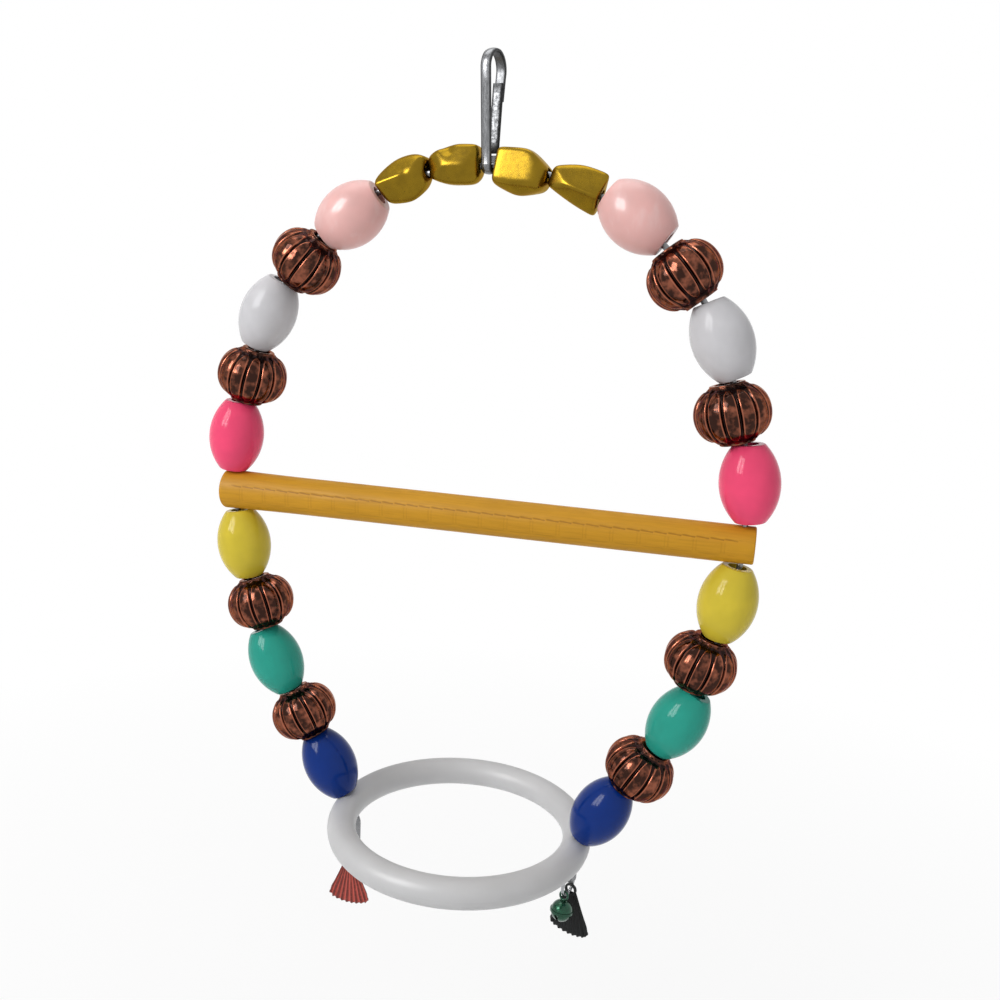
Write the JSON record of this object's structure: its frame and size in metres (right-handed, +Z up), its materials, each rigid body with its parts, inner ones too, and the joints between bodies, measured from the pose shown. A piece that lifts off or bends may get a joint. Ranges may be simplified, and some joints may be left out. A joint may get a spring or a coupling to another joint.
{
  "type": "bird swing",
  "caption": "Hanging bird swing: a beaded wire hoop on a spring clip, with a round perch across the middle, a plastic ring at the foot, and fan and bell charms.",
  "frame": {"origin": "the hang point, inside the top of the clip's hook, where a cage bar or ring bears", "axes": "+Z up, +X along the perch to the right as seen from the front, -Y towards the viewer in front"},
  "size_m": [0.1548, 0.0756, 0.2393],
  "materials": {
    "clip_steel": "nickel-plated spring steel strip, bright with fine scratches",
    "wire_steel": "bare drawn steel wire",
    "jump_steel": "bright plated wire",
    "perch_wood": "stained wood with a pressed row pattern, satin",
    "ring_plastic": "white moulded plastic, satin",
    "gold_plating": "gold-coloured plating, satin metallic",
    "bronze_plating": "bronze-coloured plating, mirror bright",
    "pearl_pink": "pearl pink, soft gloss",
    "bead_white": "glossy",
    "bead_pink": "glossy",
    "bead_yellow": "glossy",
    "bead_green": "glossy",
    "bead_blue": "glossy",
    "fan_red": "red enamel on a pleated stamping",
    "fan_charcoal": "charcoal enamel on a pleated stamping",
    "bell_green": "green lacquer, glossy",
    "bell_silver": "bright plating"
  },
  "bodies": {
    "clip": {"clip_hook": "clip_steel"},
    "gate": {"clip_gate": "clip_steel"},
    "hoop": {"wire_hoop": "wire_steel", "perch": "perch_wood", "ring": "ring_plastic"},
    "right_gold_nugget_1": {"right_gold_nugget_1": "gold_plating"},
    "right_gold_nugget_2": {"right_gold_nugget_2": "gold_plating"},
    "right_pearl_bead": {"right_pearl_bead": "pearl_pink"},
    "right_ribbed_bead_1": {"right_ribbed_bead_1": "bronze_plating"},
    "right_white_bead": {"right_white_bead": "bead_white"},
    "right_ribbed_bead_2": {"right_ribbed_bead_2": "bronze_plating"},
    "right_pink_bead": {"right_pink_bead": "bead_pink"},
    "right_yellow_bead": {"right_yellow_bead": "bead_yellow"},
    "right_ribbed_bead_3": {"right_ribbed_bead_3": "bronze_plating"},
    "right_green_bead": {"right_green_bead": "bead_green"},
    "right_ribbed_bead_4": {"right_ribbed_bead_4": "bronze_plating"},
    "right_blue_bead": {"right_blue_bead": "bead_blue"},
    "right_jump_ring": {"right_jump_ring": "jump_steel"},
    "right_fan": {"right_fan": "fan_charcoal"},
    "right_bell": {"right_bell": "bell_green"},
    "right_bell_pellet": {"right_bell_pellet": "jump_steel"},
    "left_gold_nugget_1": {"left_gold_nugget_1": "gold_plating"},
    "left_gold_nugget_2": {"left_gold_nugget_2": "gold_plating"},
    "left_pearl_bead": {"left_pearl_bead": "pearl_pink"},
    "left_ribbed_bead_1": {"left_ribbed_bead_1": "bronze_plating"},
    "left_white_bead": {"left_white_bead": "bead_white"},
    "left_ribbed_bead_2": {"left_ribbed_bead_2": "bronze_plating"},
    "left_pink_bead": {"left_pink_bead": "bead_pink"},
    "left_yellow_bead": {"left_yellow_bead": "bead_yellow"},
    "left_ribbed_bead_3": {"left_ribbed_bead_3": "bronze_plating"},
    "left_green_bead": {"left_green_bead": "bead_green"},
    "left_ribbed_bead_4": {"left_ribbed_bead_4": "bronze_plating"},
    "left_blue_bead": {"left_blue_bead": "bead_blue"},
    "left_jump_ring": {"left_jump_ring": "jump_steel"},
    "left_fan": {"left_fan": "fan_red"},
    "left_bell": {"left_bell": "bell_silver"},
    "left_bell_pellet": {"left_bell_pellet": "jump_steel"}
  },
  "joints": [
    {"name": "swing", "type": "hinge", "parent": "clip", "child": "hoop", "pos_m": [0, 0, -0.02635], "axis": [1, 0, 0], "range_deg": [-70, 70]},
    {"name": "gate_flex", "type": "hinge", "parent": "clip", "child": "gate", "pos_m": [0.00042, 0.00197, -0.02311], "axis": [0.9781, -0.2079, 0], "range_deg": [0, 16], "stiffness_Nm_per_rad": 0.12, "springref_deg": -5.73},
    {"name": "right_gold_nugget_1_spin", "type": "hinge", "parent": "hoop", "child": "right_gold_nugget_1", "pos_m": [0.00863, 0, -0.02727], "axis": [0.9911, 0, -0.1334], "continuous": true},
    {"name": "right_gold_nugget_2_spin", "type": "hinge", "parent": "hoop", "child": "right_gold_nugget_2", "pos_m": [0.02216, 0, -0.03061], "axis": [0.9394, 0, -0.3427], "continuous": true},
    {"name": "right_pearl_bead_spin", "type": "hinge", "parent": "hoop", "child": "right_pearl_bead", "pos_m": [0.03735, 0, -0.03736], "axis": [0.8224, 0, -0.5689], "continuous": true},
    {"name": "right_ribbed_bead_1_spin", "type": "hinge", "parent": "hoop", "child": "right_ribbed_bead_1", "pos_m": [0.04966, 0, -0.05042], "axis": [0.636, 0, -0.7717], "continuous": true},
    {"name": "right_white_bead_spin", "type": "hinge", "parent": "hoop", "child": "right_white_bead", "pos_m": [0.05996, 0, -0.06527], "axis": [0.422, 0, -0.9066], "continuous": true},
    {"name": "right_ribbed_bead_2_spin", "type": "hinge", "parent": "hoop", "child": "right_ribbed_bead_2", "pos_m": [0.06404, 0, -0.08262], "axis": [0.2684, 0, -0.9633], "continuous": true},
    {"name": "right_pink_bead_spin", "type": "hinge", "parent": "hoop", "child": "right_pink_bead", "pos_m": [0.06988, 0, -0.0995], "axis": [0.1174, 0, -0.9931], "continuous": true},
    {"name": "right_yellow_bead_spin", "type": "hinge", "parent": "hoop", "child": "right_yellow_bead", "pos_m": [0.06769, 0, -0.13076], "axis": [-0.1539, 0, -0.9881], "continuous": true},
    {"name": "right_ribbed_bead_3_spin", "type": "hinge", "parent": "hoop", "child": "right_ribbed_bead_3", "pos_m": [0.06259, 0, -0.14782], "axis": [-0.3056, 0, -0.9521], "continuous": true},
    {"name": "right_green_bead_spin", "type": "hinge", "parent": "hoop", "child": "right_green_bead", "pos_m": [0.05831, 0, -0.16526], "axis": [-0.4452, 0, -0.8954], "continuous": true},
    {"name": "right_ribbed_bead_4_spin", "type": "hinge", "parent": "hoop", "child": "right_ribbed_bead_4", "pos_m": [0.04952, 0, -0.18047], "axis": [-0.4909, 0, -0.8712], "continuous": true},
    {"name": "right_blue_bead_spin", "type": "hinge", "parent": "hoop", "child": "right_blue_bead", "pos_m": [0.04015, 0, -0.19513], "axis": [-0.4909, 0, -0.8712], "continuous": true},
    {"name": "right_jump_ring_swing", "type": "hinge", "parent": "hoop", "child": "right_jump_ring", "pos_m": [0.03266, -0.00053, -0.21769], "axis": [0.9397, -0.342, 0], "range_deg": [-70, 70]},
    {"name": "right_fan_swing", "type": "hinge", "parent": "right_jump_ring", "child": "right_fan", "pos_m": [0.0333, 0.00123, -0.22169], "axis": [0.342, 0.9397, 0], "range_deg": [-50, 50]},
    {"name": "right_bell_swing", "type": "hinge", "parent": "right_jump_ring", "child": "right_bell", "pos_m": [0.03201, -0.00229, -0.22169], "axis": [0.3368, 0.9254, -0.1736], "range_deg": [-40, 40]},
    {"name": "right_pellet_roll", "type": "hinge", "parent": "right_bell", "child": "right_bell_pellet", "pos_m": [0.03175, -0.00303, -0.22611], "axis": [0.9397, -0.342, 0], "range_deg": [-50, 50]},
    {"name": "left_gold_nugget_1_spin", "type": "hinge", "parent": "hoop", "child": "left_gold_nugget_1", "pos_m": [-0.00871, 0, -0.02663], "axis": [-0.9911, 0, -0.1334], "continuous": true},
    {"name": "left_gold_nugget_2_spin", "type": "hinge", "parent": "hoop", "child": "left_gold_nugget_2", "pos_m": [-0.02238, 0, -0.03001], "axis": [-0.9394, 0, -0.3427], "continuous": true},
    {"name": "left_pearl_bead_spin", "type": "hinge", "parent": "hoop", "child": "left_pearl_bead", "pos_m": [-0.03616, 0, -0.03908], "axis": [-0.8224, 0, -0.5689], "continuous": true},
    {"name": "left_ribbed_bead_1_spin", "type": "hinge", "parent": "hoop", "child": "left_ribbed_bead_1", "pos_m": [-0.04871, 0, -0.0512], "axis": [-0.636, 0, -0.7717], "continuous": true},
    {"name": "left_white_bead_spin", "type": "hinge", "parent": "hoop", "child": "left_white_bead", "pos_m": [-0.05989, 0, -0.0653], "axis": [-0.422, 0, -0.9066], "continuous": true},
    {"name": "left_ribbed_bead_2_spin", "type": "hinge", "parent": "hoop", "child": "left_ribbed_bead_2", "pos_m": [-0.06481, 0, -0.08241], "axis": [-0.2684, 0, -0.9633], "continuous": true},
    {"name": "left_pink_bead_spin", "type": "hinge", "parent": "hoop", "child": "left_pink_bead", "pos_m": [-0.06982, 0, -0.09951], "axis": [-0.1174, 0, -0.9931], "continuous": true},
    {"name": "left_yellow_bead_spin", "type": "hinge", "parent": "hoop", "child": "left_yellow_bead", "pos_m": [-0.06778, 0, -0.13077], "axis": [0.1539, 0, -0.9881], "continuous": true},
    {"name": "left_ribbed_bead_3_spin", "type": "hinge", "parent": "hoop", "child": "left_ribbed_bead_3", "pos_m": [-0.06259, 0, -0.14782], "axis": [0.3056, 0, -0.9521], "continuous": true},
    {"name": "left_green_bead_spin", "type": "hinge", "parent": "hoop", "child": "left_green_bead", "pos_m": [-0.05776, 0, -0.16499], "axis": [0.4452, 0, -0.8954], "continuous": true},
    {"name": "left_ribbed_bead_4_spin", "type": "hinge", "parent": "hoop", "child": "left_ribbed_bead_4", "pos_m": [-0.04876, 0, -0.18004], "axis": [0.4909, 0, -0.8712], "continuous": true},
    {"name": "left_blue_bead_spin", "type": "hinge", "parent": "hoop", "child": "left_blue_bead", "pos_m": [-0.0404, 0, -0.19528], "axis": [0.4909, 0, -0.8712], "continuous": true},
    {"name": "left_jump_ring_swing", "type": "hinge", "parent": "hoop", "child": "left_jump_ring", "pos_m": [-0.03275, 0, -0.22029], "axis": [-1, 0, 0], "range_deg": [-70, 70]},
    {"name": "left_fan_swing", "type": "hinge", "parent": "left_jump_ring", "child": "left_fan", "pos_m": [-0.03275, -0.00188, -0.22429], "axis": [0, -1, 0], "range_deg": [-50, 50]},
    {"name": "left_bell_swing", "type": "hinge", "parent": "left_jump_ring", "child": "left_bell", "pos_m": [-0.03275, 0.00188, -0.22429], "axis": [0, -0.9848, -0.1736], "range_deg": [-40, 40]},
    {"name": "left_pellet_roll", "type": "hinge", "parent": "left_bell", "child": "left_bell_pellet", "pos_m": [-0.03275, 0.00266, -0.22871], "axis": [-1, 0, 0], "range_deg": [-50, 50]}
  ]
}
